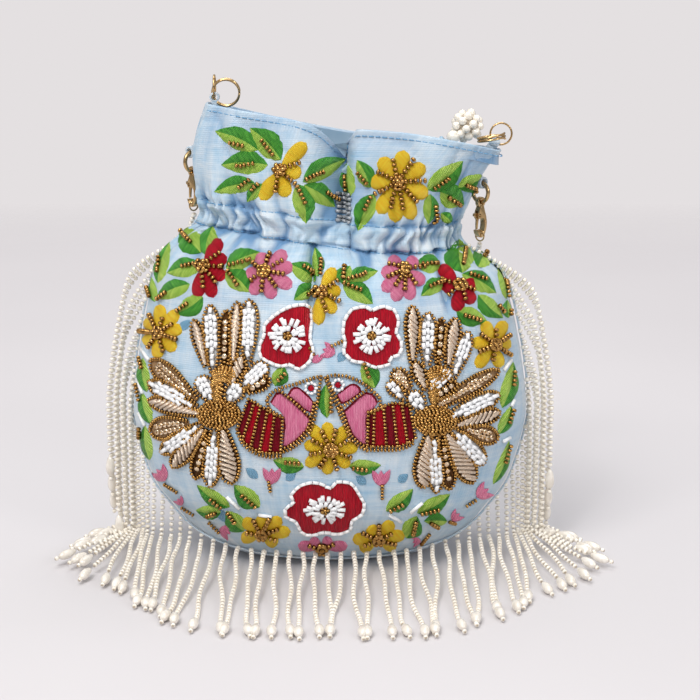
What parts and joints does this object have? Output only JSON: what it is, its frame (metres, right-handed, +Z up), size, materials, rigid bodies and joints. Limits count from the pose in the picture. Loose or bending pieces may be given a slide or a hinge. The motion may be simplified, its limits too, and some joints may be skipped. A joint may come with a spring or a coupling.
{
  "type": "potli bag",
  "caption": "Soft silk pouch with a drawstring neck, beaded flower embroidery, a pearl strand fringe in the seam and a clip-on pearl hand strap.",
  "frame": {"origin": "centre of the flat base the pouch stands on", "axes": "+Z up, the embroidered front towards -Y, +X to the right seen from the front"},
  "size_m": [0.2737, 0.1929, 0.2386],
  "materials": {
    "silk": "soft silk with a slub, embroidered",
    "lining": "smooth satin",
    "cord": "twisted silk cord",
    "pearl": "pearl lustre",
    "gold": "polished light gold plate"
  },
  "bodies": {
    "bag": {"front_panel": "silk", "back_panel": "silk", "lining": "lining", "drawstring": "cord", "toggle_pearl": "pearl", "pearl_cluster": "pearl", "pearl_fringe": "pearl", "corner_tab_left": "silk", "corner_tab_right": "silk", "side_ring_left": "gold", "side_ring_right": "gold", "side_tab_left": "silk", "side_tab_right": "silk", "pearl_strap": "pearl"},
    "jump_left": {"jump_ring_left": "gold"},
    "jump_right": {"jump_ring_right": "gold"},
    "split_left": {"split_ring_left": "gold"},
    "split_right": {"split_ring_right": "gold"},
    "clasp_left": {"clasp_body_left": "gold", "clasp_pin_left": "gold", "strap_ring_left": "gold"},
    "lever_left": {"clasp_lever_left": "gold"},
    "clasp_right": {"clasp_body_right": "gold", "clasp_pin_right": "gold", "strap_ring_right": "gold"},
    "lever_right": {"clasp_lever_right": "gold"}
  },
  "joints": [
    {"name": "jump_ring_left_swing", "type": "hinge", "parent": "bag", "child": "jump_left", "pos_m": [-0.05545, 0, 0.22763], "axis": [0, 1, 0], "range_deg": [-15, 8]},
    {"name": "split_ring_left_swing", "type": "hinge", "parent": "jump_left", "child": "split_left", "pos_m": [-0.05545, 0.00395, 0.22933], "axis": [1, 0, 0], "range_deg": [-4, 12]},
    {"name": "jump_ring_right_swing", "type": "hinge", "parent": "bag", "child": "jump_right", "pos_m": [0.0802, 0, 0.2057], "axis": [-0.8, 0, 0.6], "range_deg": [-15, 15]},
    {"name": "split_ring_right_swing", "type": "hinge", "parent": "jump_right", "child": "split_right", "pos_m": [0.0785, 0, 0.20787], "axis": [0, 1, 0], "range_deg": [-25, 4]},
    {"name": "clasp_left_swing", "type": "hinge", "parent": "bag", "child": "clasp_left", "pos_m": [-0.0675, 0.0095, 0.1905], "axis": [0.7071, 0.7071, 0], "range_deg": [0, 35], "deforming": ["pearl_strap"]},
    {"name": "clasp_right_swing", "type": "hinge", "parent": "bag", "child": "clasp_right", "pos_m": [0.0745, 0.008, 0.1755], "axis": [0.7071, -0.7071, 0], "range_deg": [0, 35], "deforming": ["pearl_strap"]},
    {"name": "lever_left_press", "type": "hinge", "parent": "clasp_left", "child": "lever_left", "pos_m": [-0.0687, 0.0107, 0.1842], "axis": [-0.7071, -0.7071, 0], "range_deg": [0, 12], "stiffness_Nm_per_rad": 0.002, "springref_deg": -17.19},
    {"name": "lever_right_press", "type": "hinge", "parent": "clasp_right", "child": "lever_right", "pos_m": [0.0733, 0.0068, 0.1692], "axis": [0.7071, -0.7071, 0], "range_deg": [0, 12], "stiffness_Nm_per_rad": 0.002, "springref_deg": -17.19}
  ]
}
